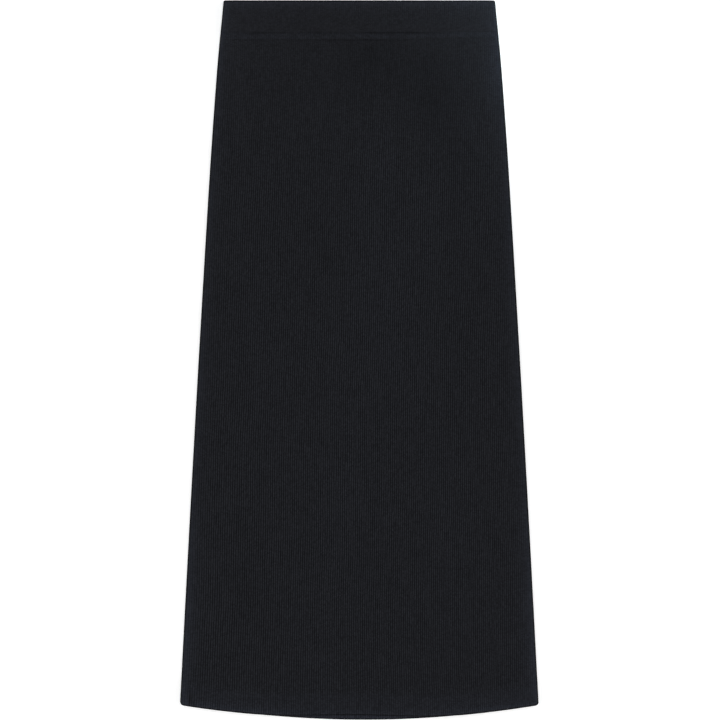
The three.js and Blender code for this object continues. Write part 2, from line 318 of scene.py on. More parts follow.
def weave(name, down, edge, outer, inner, seam, pale, faces_up, every):
    """Makes one piece of cloth. outer, inner and seam give heights for x, distance down and distance
    up from the edge, pale gives the painted light and shade there (above zero paler yarn, below zero
    painted shade), and every says which lines the inner face keeps."""
    x = rib_x(line_across, down)
    lines = np.arange(x.shape[1])
    within = np.abs(x) < half_width(down) - RUN_OUT
    left = np.argmax(within, axis=1)[:, None] - 1
    right = x.shape[1] - np.argmax(within[:, ::-1], axis=1)[:, None]
    line = np.clip(lines[None, :], left, right)

    down = np.take_along_axis(down, line, axis=1)
    up = np.take_along_axis(np.broadcast_to(edge, down.shape), line, axis=1) - down
    rib_place = rib_x(line_across[line], down)
    side = half_width(down)
    at_side = (line == left) | (line == right)
    x = np.where(line == left, -side, np.where(line == right, side, rib_place))
    rib = (line_across[line] + (x - rib_place) / fan(down)) / PITCH_AT_HEM
    crest = line_crest[line] * (1 - PRESSED_FLAT * pressed(x, down, up))

    drawn = (lines >= left) & (lines <= right)
    ids = np.cumsum(drawn).reshape(drawn.shape) - 1
    ids = np.take_along_axis(ids, line, axis=1)
    z = np.where(at_side, seam(down, up), outer(x, down, up, crest))
    looks = (rib, down, pale(x, down, up), pressed(x, down, up))
    shown = np.stack([g[drawn] for g in (x, TOP - down, z, *looks)], axis=1)

    kept = np.unique(np.append(lines[::every], lines[-1]))
    hidden = ((lines > left) & (lines < right))[:, kept]
    inner_ids = ids[:, kept].copy()
    inner_ids[hidden] = drawn.sum() + np.arange(hidden.sum())
    z = inner(x, down, up, crest)
    lining = [g[:, kept][hidden] for g in (x, TOP - down, z, *looks)]
    table = np.vstack([shown, np.stack(lining, axis=1)])
    points, knit = table[:, :3], table[:, 3:5]

    across = points[:, 0]
    once = lambda row: list(dict.fromkeys(row.tolist()))
    top = zip_faces(once(ids[0]), once(inner_ids[0]), across)
    bottom = zip_faces(once(ids[-1]), once(inner_ids[-1]), across)
    flipped = lambda faces: [face[::-1] for face in faces]
    down_facing = grid_faces(ids) + flipped(grid_faces(inner_ids)) + flipped(top) + bottom
    faces = flipped(down_facing) if faces_up else down_facing

    mesh = bpy.data.meshes.new(name)
    mesh.from_pydata((points * MM).tolist(), [], faces)
    mesh.validate()
    mesh.shade_smooth()
    corner_points = np.zeros(len(mesh.loops), dtype=np.int32)
    mesh.loops.foreach_get("vertex_index", corner_points)
    uv = mesh.uv_layers.new(name="knit")
    uv.data.foreach_set("uv", knit[corner_points].astype(np.float32).ravel())
    for column, label in ((5, "painted_light_and_shade"), (6, "pressed")):
        values = mesh.attributes.new(label, "FLOAT", "POINT")
        values.data.foreach_set("value", table[:, column].astype(np.float32))
    piece = add_object(name, mesh)
    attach(piece, "root")
    triangles = sum(len(face) - 2 for face in faces)
    print(f"{name}: {len(points)} points, {triangles} triangles")
    return piece


# %% [markdown]
# ## Soft steps and rounded edges
# Laid cloth never has a hard step: it eases over whatever is under it. Two small helpers are enough
# for the whole skirt. One goes smoothly from 0 to 1, for hems and allowances under the cloth.
# The other is a quarter round, for the folds at the sides, the hem and the top.
# Each fold gets a painted highlight, and its outermost thread, turned from the light, a painted
# shade line.
# A map of painted light and shade along the edges says both: above zero paler yarn, below zero
# shade.

# %% Ease steps and round edges
def ease(t):
    """Smoothly from 0 to 1 while t goes from 0 to 1."""
    t = np.clip(t, 0, 1)
    return t * t * (3 - 2 * t)


def quarter_round(distance, radius):
    """Height of a round edge at a distance from it, as a share of its full height."""
    return np.sqrt(1 - (1 - np.clip(distance / radius, 0, 1)) ** 2)


# %% Shade the folded edges
# Painted highlight along the folded edges
EDGE_PAINTED_LIGHT = 0.60
EDGE_PALE_REACH = 5.5
LOW_FROM, LOW_OVER = 600.0, 200.0  # towards the hem the painted edge light is stronger and wider
LOW_PALER, LOW_WIDER = 0.35, 0.5
HIGH_TO, HIGH_OVER = 130.0, 90.0  # and towards the waist a little more at the sides
HIGH_PALER, HIGH_REACH = 0.24, 8.0
# Painted shade line on the outermost thread of each fold
EDGE_PAINTED_SHADE = 1.45
EDGE_DARK_IN = 0.7
EDGE_DARK_WIDTH = 0.9
TOP_DARKER, TOP_DARK_REACH = 0.7, 2.5


def painted_edge_light_and_shade(x, down, up):
    """Painted highlight along the folded edges, and a painted shade line on their very last thread,
    which lies in its own shade.
    """
    low = ease((down - LOW_FROM) / LOW_OVER)
    high = HIGH_PALER * ease((HIGH_TO - down) / HIGH_OVER)
    inside = inside_outline(x, down)
    reach = EDGE_PALE_REACH * (1 + LOW_WIDER * low)
    pale = (1 + LOW_PALER * low) * np.exp(-inside / reach)
    pale = pale + high * np.exp(-(half_width(down) - np.abs(x)) / HIGH_REACH)
    dark = EDGE_PAINTED_SHADE * (1 + TOP_DARKER * ridge(down, TOP_DARK_REACH))
    return EDGE_PAINTED_LIGHT * pale - dark * ridge(inside - EDGE_DARK_IN, EDGE_DARK_WIDTH)


# %% [markdown]
# ## The front panel
# From the waist down, the front shows the seam allowance as a raised band that ends in a line of
# stitching. Then the cloth sinks from the thick waistband onto the back panel, lies nearly flat, and
# steps up over the turned-up hem. Along both sides the allowances inside lift a strip about a finger
# wide. These forms are added up as heights. Physics could settle the cloth, but it would not put
# each crease where the skirt has it. So creases and puckers are placed one by one, in short tables.
# A third table holds soft shades: wide, faint patches of painted light and painted shade, paler or
# darker.

# %% Place creases, puckers and soft shades
STITCHING = PANEL_TOP + 8.9  # the allowance reaches down to here
HEM_TURN = 27.0

CREASES = np.array([  # x, down, half length, half width, degrees from the ribs, height
    (14, 66, 17, 9, 8, -0.35),
    (-38, 74, 22, 12, -12, 0.22),
    (62, 92, 34, 14, 6, 0.26),
    (-96, 105, 46, 16, 10, -0.24),
    (26, 205, 60, 24, 3, 0.34),
    (-52, 300, 85, 30, -5, -0.30),
    (104, 245, 70, 22, 9, 0.28),
    (132, 392, 90, 20, 4, -0.26),
    (-120, 455, 110, 26, -3, 0.30),
    (34, 520, 95, 34, -7, -0.32),
    (-24, 640, 80, 26, 6, 0.28),
    (110, 668, 105, 28, 2, 0.26),
    (-140, 742, 70, 20, -6, -0.26),
    (58, 800, 50, 22, 12, -0.22),
    (-62, 812, 44, 18, -14, 0.24),
    (-204, 865, 7, 2.6, 62, 0.30),
])
PUCKERS = np.array([  # x, down, half length, half width, degrees from the seam, height
    (-3, 43.9, 5.2, 1.0, 17, 0.34),
    (6, 45.6, 6.0, 1.1, 20, 0.40),
    (12, 43.2, 5.4, 0.9, 15, 0.36),
    (19, 45.2, 6.4, 1.2, 19, 0.42),
    (26, 43.6, 5.0, 1.0, 14, 0.34),
    (33, 45.9, 5.2, 1.0, 12, 0.30),
    (-14, 45.2, 4.4, 1.1, 12, 0.24),
    (-27, 43.9, 5.0, 1.2, 16, 0.20),
    (-43, 45.4, 4.6, 1.2, -9, 0.18),
    (-66, 44.3, 6.0, 1.3, 11, 0.17),
    (-88, 45.3, 5.2, 1.2, -12, 0.18),
    (-112, 44.1, 5.8, 1.3, 8, 0.16),
    (-139, 45.0, 6.2, 1.3, -10, 0.18),
    (48, 44.2, 5.6, 1.2, -10, 0.22),
    (67, 45.2, 6.2, 1.2, 14, 0.20),
    (84, 43.9, 5.0, 1.2, 9, 0.20),
    (103, 45.1, 6.0, 1.3, -8, 0.18),
    (127, 44.2, 5.6, 1.2, 12, 0.20),
    (151, 45.0, 5.0, 1.3, -9, 0.18),
])
PAINTED_SOFT_SHADES = np.array([  # x, down, half length, half width, degrees from the ribs, painted light (below zero painted shade)
    (15, 80, 44, 72, 0, -0.15),
    (17, 60, 9, 14, 0, -0.13),
    (92, 122, 50, 34, 0, -0.18),
    (168, 84, 42, 13, 0, 0.20),
    (125, 200, 80, 26, 0, -0.07),
    (25, 420, 190, 55, 0, 0.07),
    (-205, 872, 9, 12, 0, -0.12),
    (-211.4, 874, 4.5, 1.6, 0, -0.30),
    (-216.3, 877, 6, 2.0, 0, 0.25),
])


def folds(table, x, down, along_x=False):
    """Adds up soft ridges and troughs, each a stretched bell. Most run along the ribs."""
    height = np.zeros_like(x)
    for at_x, at_down, long, wide, lean, lift in table:
        turn = np.radians(lean)
        dx, dy = x - at_x, down - at_down
        one = dx * np.cos(turn) + dy * np.sin(turn)
        other = dy * np.cos(turn) - dx * np.sin(turn)
        along, across = (one, other) if along_x else (other, one)
        height += lift * ridge(along, long) * ridge(across, wide)
    return height


# %% Shape the two seams below the waistband
SEAM_DRAWN_IN = (  # x, half length, how deep
    (-123, 16, 0.9),
    (-96, 13, 0.6),
    (-46, 36, 0.25),
    (14, 14, 0.8),
    (42, 17, 0.9),
    (71, 17, 1.1),
    (98, 13, 0.5),
)
THREAD_SLACK = 0.25  # how hard the thread pulls everywhere
THREAD_PULLS = (  # x, half length, how much harder
    (-7, 40, 1.2),
    (-140, 30, 0.35),
    (130, 22, 0.3),
)
STITCHES_RISE = 2.3  # how much higher the topstitching ends on the right
STITCHES_RISE_FROM, STITCHES_RISE_OVER = 45.0, 70.0


def seam_depth(x):
    """The waist seam is drawn in deeper on some stretches, and gets a painted shade line there."""
    return along_skirt(SEAM_DRAWN_IN, x)


def stitch_line(x):
    """Distance down to the topstitching, which rises a little towards the right side."""
    return STITCHING - STITCHES_RISE * ease((x - STITCHES_RISE_FROM) / STITCHES_RISE_OVER)


def thread_pull(x):
    """The topstitching pulls hardest left of the middle and near both ends."""
    return THREAD_SLACK + along_skirt(THREAD_PULLS, x)


# %% Shape the front panel's outer face
BAND_DRAPE = 62.0  # the cloth comes down from the waistband over this length
FAST_SINK = 0.45  # share of that step which is taken within a few millimetres
FAST_SINK_REACH = 5.0
STITCH_DIP = 0.45
STITCH_DIP_WIDTH = 1.2
SEAM_DIP = 0.35
SEAM_DIP_WIDTH = 1.0
HEM_STEP = 6.0
HEM_STEP_AT_SIDE = 8.0
ALLOWANCE_WIDTH = 11.5
ALLOWANCE_LIFT = 0.40
ALLOWANCE_SLOPE = 4.0
ALLOWANCE_START = 3.0
CREASES_END = 25.0  # creases fade out over this width at the sides
PUCKER_LIFT = 1.5
SIDE_ROUND = 3.4
HEM_ROUND = 2.4
RIBS_PRESSED = 0.45  # share of a rib's height that stitching leaves
SEAM_TUCK_DEPTH = 1.15  # how far the panel's edge dives under the waistband
SEAM_TUCK_WIDTH = 0.35
CORNER_SEAM = 11.8  # at the lower left the side seam is turned a little to the front
CORNER_SEAM_REACH = 34.0
CORNER_SEAM_WIDTH = 1.1
CORNER_SEAM_DEPTH = 0.7


def corner_seam(x, down, up):
    """The side seam where it shows at the lower left, as a share from 0 to 1."""
    across = ridge(x + half_width(down) - CORNER_SEAM, CORNER_SEAM_WIDTH)
    return across * ease((CORNER_SEAM_REACH - up) / CORNER_SEAM_REACH)


def panel_seam(down, up):
    """Height of the front's side edge, where it meets the back."""
    waist = 1 - np.clip((down - STITCHING) / BAND_DRAPE, 0, 1)
    hem = np.clip((HEM_TURN + HEM_STEP_AT_SIDE - up) / HEM_STEP_AT_SIDE, 0, 1)
    return front_inside + TURNED_IN * np.maximum(waist, hem)


def front_outer(x, down, up, crest):
    from_side = half_width(down) - np.abs(x)
    below = down - stitch_line(x)
    fast = FAST_SINK * np.exp(-np.maximum(below, 0) / FAST_SINK_REACH)
    slow = (1 - FAST_SINK) * (1 - ease(below / BAND_DRAPE))
    raised = np.where(below < 0, 1, fast + slow)
    z = front_single + 2 * TURNED_IN * raised
    z = z + TURNED_IN * ease((HEM_TURN + HEM_STEP / 2 - up) / HEM_STEP)
    z = z + TURNED_IN * ease((HEM_TURN + HEM_STEP - up) / HEM_STEP) * (1 - raised)
    over_allowance = ease((ALLOWANCE_WIDTH + ALLOWANCE_SLOPE / 2 - from_side) / ALLOWANCE_SLOPE)
    z = z + ALLOWANCE_LIFT * over_allowance * ease(from_side / ALLOWANCE_START)
    z = z + folds(CREASES, x, down) * ease(from_side / CREASES_END)
    z = z + PUCKER_LIFT * folds(PUCKERS, x, down, along_x=True)

    stitched = ridge(below, STITCH_DIP_WIDTH)
    seamed = ridge(down - PANEL_TOP, SEAM_DIP_WIDTH)
    z = z - STITCH_DIP * thread_pull(x) * stitched
    z = z - SEAM_DIP * seam_depth(x) * seamed
    z = z - CORNER_SEAM_DEPTH * corner_seam(x, down, up)
    z = z - SEAM_TUCK_DEPTH * ease((PANEL_TOP - down) / SEAM_TUCK_WIDTH - 1)
    z = z + RIB_HEIGHT * crest * (1 - (1 - RIBS_PRESSED) * np.maximum(stitched, seamed))

    fold_middle = (front_doubled + front_inside_doubled) / 2
    z = fold_middle + (z - fold_middle) * quarter_round(up, HEM_ROUND)
    side = panel_seam(down, up)
    return side + (z - side) * quarter_round(from_side, SIDE_ROUND)


def front_inner(x, down, up, crest):
    return panel_seam(down, up)


# %% Shade the front panel
# Painted light on the turned-up hem, whose pressed ribs show less groove shade
HEM_PAINTED_LIGHT = 0.11
HEM_PALE_LESS = 0.10  # but less between its edge and its upper end
HEM_LESS_AT, HEM_LESS_REACH = 9.0, 8.0
HEM_PALE_OVER = 2.0
# Painted light on the allowance, whose pressed ribs show less groove shade
ALLOWANCE_PAINTED_LIGHT = 0.14
ALLOWANCE_PALE_FROM, ALLOWANCE_PALE_FADE = -0.5, 1.5
FLAT_SEAM_PAINTED_LIGHT = 0.1  # painted light over the waist seam where it isn't drawn in, against the shade in its gap
FLAT_SEAM_AT, FLAT_SEAM_REACH = -0.2, 0.6
# Painted light on the raised crests of the puckers
PUCKER_PAINTED_LIGHT = 0.65
# Painted light on crease ridges and painted shade in crease hollows
CREASE_PAINTED_SHADING = 0.12
# Painted shade in the dip of the topstitching
STITCH_PAINTED_SHADE = 0.15
# Painted shade along the waist seam where it is drawn in
SEAM_PAINTED_SHADE = 0.35
UNDER_HEM_PAINTED_SHADOW = 1.3  # painted shadow under the front hem's lower edge, above the sliver of the back hem
UNDER_HEM_TO, UNDER_HEM_OVER = 165.0, 80.0
UNDER_HEM_WIDTH = 1.2
# Painted shade in the dip of the corner seam
CORNER_SEAM_PAINTED_SHADE = 0.3


def front_painted_light_and_shade(x, down, up):
    """Painted light where the cloth is pressed, on the seam, puckers, creases and soft shades, and
    painted shade in seams, stitching and under the hem.
    """
    less = HEM_PALE_LESS * ridge(up - HEM_LESS_AT, HEM_LESS_REACH)
    hem = (HEM_PAINTED_LIGHT - less) * ease((HEM_TURN + HEM_PALE_OVER / 2 - up) / HEM_PALE_OVER)
    under_seam = down - PANEL_TOP
    allowance = ALLOWANCE_PAINTED_LIGHT * ease(under_seam - ALLOWANCE_PALE_FROM)
    allowance = allowance * ease((stitch_line(x) - down) / ALLOWANCE_PALE_FADE)
    flat_seam = FLAT_SEAM_PAINTED_LIGHT * np.clip(1 - seam_depth(x), 0, 1)
    flat_seam = flat_seam * ridge(under_seam - FLAT_SEAM_AT, FLAT_SEAM_REACH)
    puckered = PUCKER_PAINTED_LIGHT * folds(PUCKERS, x, down, along_x=True)
    creased = CREASE_PAINTED_SHADING * folds(CREASES, x, down) + folds(PAINTED_SOFT_SHADES, x, down)
    pale = painted_edge_light_and_shade(x, down, up) + hem + allowance + flat_seam + puckered + creased

    stitched = STITCH_PAINTED_SHADE * thread_pull(x) * ridge(down - stitch_line(x), STITCH_DIP_WIDTH)
    drawn_in = SEAM_PAINTED_SHADE * seam_depth(x) * ridge(under_seam, SEAM_DIP_WIDTH)
    middle = ease((UNDER_HEM_TO - np.abs(x)) / UNDER_HEM_OVER)
    under_hem = UNDER_HEM_PAINTED_SHADOW * middle * ridge(up, UNDER_HEM_WIDTH)
    return pale - stitched - drawn_in - under_hem - CORNER_SEAM_PAINTED_SHADE * corner_seam(x, down, up)


# %% Make the front panel
TUCK_ROWS = [-0.9, -0.7, -0.6, -0.5, -0.35]
ALLOWANCE_ROWS = [0, 0.5, 1.1, 1.8, 2.6, 3.5, 4.4, 5.3, 6.2, 7.0, 7.7]
STITCHING_ROWS = [8.25, 8.7, 9.15, 9.7, 10.6, 12.5, 16, 21, 28]
HEM_STEP_ROWS = [40, 36, 34, 32, 30.5, 29, 27.5, 26, 24.5, 23]
EDGE_ROWS = [20, 16, 11, 7, 4, 2.4, 1.6, 0.9, 0.4, 0.1, 0]

front = weave(
    "front_cloth",
    rows_of(
        near_top=TUCK_ROWS + ALLOWANCE_ROWS + STITCHING_ROWS,
        between=52,
        near_edge=HEM_STEP_ROWS + EDGE_ROWS,
        top=PANEL_TOP + 0 * line_across,
        edge=front_hem(line_at_hem),
    ),
    front_hem(line_at_hem),
    front_outer,
    front_inner,
    panel_seam,
    front_painted_light_and_shade,
    faces_up=True,
    every=60,
)
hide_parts("front_panel")

# %% [markdown]
# ## The back panel
# The back lies flat on the table. Its ribs press on the table with their crests, so the grooves go
# up from there. Of its inside only the sliver below the front hem shows, and that is the turned-up
# hem, ribbed side out. The same weave makes it, with the ribs as grooves so that nothing reaches
# below the table.

# %% Shape and make the back panel
GROOVE = 0.45
SHOWN_HEM = 14.0  # the inside is ribbed this far up from the hem
SHOWN_HEM_FADE = 3.0
BACK_STITCH_STEP = 2.0
BACK_HEM_STEP = 1.5
BACK_HEM_THICK = 0.4  # rounds the inside of the hem less than the outside
# Painted light over the whole back, seen only in the sliver below the front hem
BACK_HEM_PAINTED_LIGHT = 0.22
back_end = back_inside_doubled / 2


def back_seam(down, up):
    return panel_seam(down, up) - LAYER_GAP


def grooves(crest):
    """How far the cloth stands off the table between the crests of its ribs."""
    return GROOVE * np.clip(1 - crest, 0, 1)


def back_outer(x, down, up, crest):
    side = back_seam(down, up)
    z = grooves(crest)
    z = back_end + (z - back_end) * quarter_round(up, HEM_ROUND)
    return side + (z - side) * quarter_round(half_width(down) - np.abs(x), SIDE_ROUND)


def back_inner(x, down, up, crest):
    at_top = ease((STITCHING + BACK_STITCH_STEP - down) / BACK_STITCH_STEP)
    at_hem = ease((HEM_TURN + BACK_HEM_STEP - up) / BACK_HEM_STEP)
    z = back_inside + TURNED_IN * np.maximum(at_top, at_hem)
    z = z - grooves(crest) * ease((SHOWN_HEM - up) / SHOWN_HEM_FADE)
    return back_end + (z - back_end) * quarter_round(up + BACK_HEM_THICK, HEM_ROUND)


def back_painted_light_and_shade(x, down, up):
    return painted_edge_light_and_shade(x, down, up) + BACK_HEM_PAINTED_LIGHT


back = weave(
    "back_cloth",
    rows_of(
        near_top=[0, 4, 8.7, 9.7, 10.7, 20],
        between=16,
        near_edge=[40, 28.5, 27.8, 27, 20, 14, 11, 8, 6, 4, 2.4, 1.6, 0.9, 0.4, 0.1, 0],
        top=PANEL_TOP + 0 * line_across,
        edge=back_hem(line_at_hem),
    ),
    back_hem(line_at_hem),
    back_outer,
    back_inner,
    back_seam,
    back_painted_light_and_shade,
    faces_up=False,
    every=1,
)
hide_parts("back_panel")

# %% [markdown]
# ## The waistband
# The band is rib cloth folded over elastic, so it is thick, softly domed and round at its top fold.
# The elastic is sewn in slightly stretched, and when it draws back it leaves soft uneven swells
# across the band. The ribs go on through the band in line with the skirt's. Its lower edge dives
# into the waist seam, deeper where the seam is drawn in.

# %% Shape the waistband
BAND_DOME = 0.35
TOP_ROUND = 2.6
SHOULDER = 8.0  # width of the slope from the band down to the waist seam
SHOULDER_START = 0.4
SEAM_STANDS = 0.3  # the band's lower edge stands this high over the panel
SEAM_DRAWS = 0.5  # and sinks this far where the seam is drawn in most
SEAM_FLATTENS = 0.55  # share of a rib's height that the waist seam leaves
SEAM_FLATTENS_REACH = 3.0
# Painted shade on the band's lower edge where the seam is drawn in
BAND_SEAM_PAINTED_SHADE = 0.17
BAND_SEAM_DARK_REACH = 0.6
BAND_SIDE_ROUND = under_high[2]
band_inside = band_low[2]
band_middle = (band_inside + band_outside) / 2

SWELLS = (  # height, length of a wave across the band, start
    (0.10, 23.0, 0.4),
    (0.08, 13.7, 2.1),
    (0.05, 8.9, 4.0),
)
SWELLS_LEAN = 0.35


def swells(x, down):
    """The soft waves that the elastic draws across the band."""
    turns = 2 * np.pi * (x + SWELLS_LEAN * (down - BAND_SEAM / 2))
    return sum(lift * np.sin(turns / long + start) for lift, long, start in SWELLS)


def band_outer(x, down, up, crest):
    from_side = half_width(down) - np.abs(x)
    middle = np.clip(1 - ((down - BAND_SEAM / 2) / (BAND_SEAM / 2)) ** 2, 0, 1)
    z = band_outside + BAND_DOME * (middle - 0.5) + swells(x, down) * (1 + middle) / 2
    left = SEAM_FLATTENS + (1 - SEAM_FLATTENS) * ease(up / SEAM_FLATTENS_REACH)
    z = z + RIB_HEIGHT * crest * left
    z = band_middle + (z - band_middle) * quarter_round(down - top_fold(x), TOP_ROUND)
    edge = front_doubled + SEAM_STANDS - SEAM_DRAWS * seam_depth(x)
    z = edge + (z - edge) * ease((up + SHOULDER_START) / SHOULDER)
    return band_inside + (z - band_inside) * quarter_round(from_side, BAND_SIDE_ROUND)


def band_painted_light_and_shade(x, down, up):
    in_seam = BAND_SEAM_PAINTED_SHADE * seam_depth(x) * ridge(up, BAND_SEAM_DARK_REACH)
    return painted_edge_light_and_shade(x, down, up) - in_seam


def level_edge(height):
    return lambda down, up: height + 0 * down


def level_face(height):
    return lambda x, down, up, crest: height + 0 * x


band_rows = rows_of(
    near_top=[0, 0.1, 0.35, 0.8, 1.4, 2.1, 3.0],
    between=11,
    near_edge=[5.2, 4.2, 3.2, 2.3, 1.6, 1.0, 0.5, 0.15, 0],
    top=top_fold(line_at_top),
    edge=BAND_SEAM + 0 * line_across,
)
band = weave(
    "waistband_front_cloth",
    band_rows,
    BAND_SEAM + 0 * line_across,
    band_outer,
    level_face(band_inside),
    level_edge(band_inside),
    band_painted_light_and_shade,
    faces_up=True,
    every=60,
)
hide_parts("waistband_front")

# %% Make the waistband's back half
under_inside = under_high[2]
under_middle = under_inside / 2


def under_outer(x, down, up, crest):
    from_side = half_width(down) - np.abs(x)
    z = grooves(crest)
    z = under_middle + (z - under_middle) * quarter_round(down - top_fold(x), TOP_ROUND)
    return under_inside + (z - under_inside) * quarter_round(from_side, BAND_SIDE_ROUND)


band_back = weave(
    "waistband_back_cloth",
    band_rows,
    BAND_SEAM + 0 * line_across,
    under_outer,
    level_face(under_inside),
    level_edge(under_inside),
    painted_edge_light_and_shade,
    faces_up=False,
    every=60,
)
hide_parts("waistband_back")

# %% [markdown]
# ## Stitches
# The topstitching below the waist seam holds the allowance down. Each stitch is a short piece of
# thread that sinks into the cloth at both ends. A dashed line in a texture would do from afar, but
# thread casts its own small shadow, and from the side it must stand out of the dip. So one stitch is
# made from a few rings and repeated along the line, each with a slightly different length and lean.
# The hem has a row as well, of shorter stitches.

# %% Sew a row of stitches
THREAD_RADIUS = 0.26
THREAD_SINKS = 0.42  # how far the ends of a stitch sink in
THREAD_TAPERS = 0.12  # keeps the ends from closing to a point
STITCH_RINGS = 7
STITCH_SIDES = 6


def one_stitch(length, lean):
    """Points of one stitch, ring by ring: it rises from the cloth, runs along it and sinks back."""
    t = np.linspace(-1, 1, STITCH_RINGS)
    thick = THREAD_RADIUS * np.sqrt(np.clip(1 - t**6, THREAD_TAPERS, 1))
    angle = np.arange(STITCH_SIDES) * 2 * np.pi / STITCH_SIDES
    x = t[:, None] * length / 2 + 0 * angle
    y = thick[:, None] * np.cos(angle) + t[:, None] * lean
    z = thick[:, None] * np.sin(angle) - THREAD_SINKS * t[:, None] ** 4
    return np.stack([x, y, z], axis=-1).reshape(-1, 3)


def stitch_faces():
    faces = []
    for ring in range(STITCH_RINGS - 1):
        for side in range(STITCH_SIDES):
            a = ring * STITCH_SIDES + side
            b = ring * STITCH_SIDES + (side + 1) % STITCH_SIDES
            faces.append((a, b, b + STITCH_SIDES, a + STITCH_SIDES))
    last = (STITCH_RINGS - 1) * STITCH_SIDES
    faces.append(tuple(range(STITCH_SIDES))[::-1])
    faces.append(tuple(range(last, last + STITCH_SIDES)))
    return faces


SEWN_SHORT = 4.0  # a row ends this far from the sides
STRAY_ALONG, STRAY_ACROSS = 0.15, 0.08  # most that a stitch is out of place
STITCH_SHORTEST, STITCH_LONGEST = 0.92, 1.06
STITCH_LEAN = 0.12


def sew(name, places, height, pitch, stitch_length):
    """places gives the distance down for each x, and height the surface there."""
    half = half_width(places(0.0)) - SEWN_SHORT
    middles = np.arange(-half, half, pitch)
    middles = middles + chance.uniform(-STRAY_ALONG, STRAY_ALONG, len(middles))
    points, faces = [], []
    for x in middles:
        down = places(x) + chance.uniform(-STRAY_ACROSS, STRAY_ACROSS)
        length = stitch_length * chance.uniform(STITCH_SHORTEST, STITCH_LONGEST)
        stitch = one_stitch(length, chance.uniform(-STITCH_LEAN, STITCH_LEAN))
        slope = (places(x + 1) - places(x - 1)) / 2
        stitch[:, 1] -= stitch[:, 0] * slope
        base = len(points) * STITCH_RINGS * STITCH_SIDES
        points.append(stitch + (x, TOP - down, height(x, down)))
        faces += [tuple(base + i for i in face) for face in stitch_faces()]
    mesh = bpy.data.meshes.new(name)
    mesh.from_pydata((np.vstack(points) * MM).tolist(), [], faces)
    mesh.shade_smooth()
    piece = add_object(name, mesh)
    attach(piece, "root")
    print(f"{name}: {len(middles)} stitches")
    return piece


THREAD_ON_RIBS = 0.55  # thread lies between groove and crest
HEM_SEWN_BELOW = 1.5  # below the upper end of the turned-up hem


def on_front(x, down):
    """Height of thread on the front panel."""
    x = np.array([[float(x)]])
    return front_outer(x, 0 * x + down, front_hem(x) - down, 0 * x + THREAD_ON_RIBS)[0, 0]


def hem_line(x):
    return float(front_hem(x)) - HEM_TURN + HEM_SEWN_BELOW


topstitching = sew("topstitching", stitch_line, on_front, pitch=3.1, stitch_length=2.5)
hem_stitching = sew("hem_stitching", hem_line, on_front, pitch=3.6, stitch_length=1.7)

# %% [markdown]
# ## The knit finish
# Up close each rib is a chain of small V-shaped stitches in fuzzy yarn. They are about a millimetre
# long, far too many to model, so a node group draws them from the map that follows the ribs: across
# counts ribs, and down is the length in millimetres. The group gives a height for the bump, and a
# colour that is darker in the grooves, where less light gets in, and uneven from stitch to stitch.
# Where the cloth is pressed the grooves fade, and where a highlight is painted the yarn is paler.
# The shader stays in each material, with the sheen of brushed fibre set on it as a plain number.

# %% Node helpers
def node(tree, kind, **settings):
    made = tree.nodes.new(kind)
    for key, value in settings.items():
        setattr(made, key, value)
    return made


def fill(made, values):
    """Sets plain values on the sockets of a node."""
    for socket, value in values.items():
        made.inputs[socket].default_value = value


def new_material(title, values):
    """A material, its node tree and its shader, which is set to plain values."""
    material = bpy.data.materials.new(title)
    material.use_nodes = True
    tree = material.node_tree
    shader = tree.nodes["Principled BSDF"]
    fill(shader, values)
    return material, tree, shader


# %% Build the knit group
WAVER = 0.30  # in ribs
WAVER_LENGTH = 14.0
GROOVE_NARROW = 1.8
MEAN_GROOVE = 0.357  # mean of the mask across a rib
COURSE_LATER = 0.85  # how much later a course comes in the groove, in courses
LEG_RISE = 7.0  # how fast a leg rises beside the rib's middle
STITCH_BUMP, FUZZ_BUMP = 0.65, 0.35
FUZZ_SIZE, FUZZ_DETAIL, FUZZ_ROUGH = 0.5, 3.0, 0.16
ROUGHNESS = 0.86
OWN_SHADE = 0.46  # how much stitches differ
CLOUDS = ((28.0, 0.11), (9.0, 0.13), (3.6, 0.22))  # size of a faint patch, how strong
MEAN_LIT, STITCH_LIT = 0.85, 0.25
DARKEST = 0.15  # share of the light that always gets in
LOWEST_VALUE = 0.02


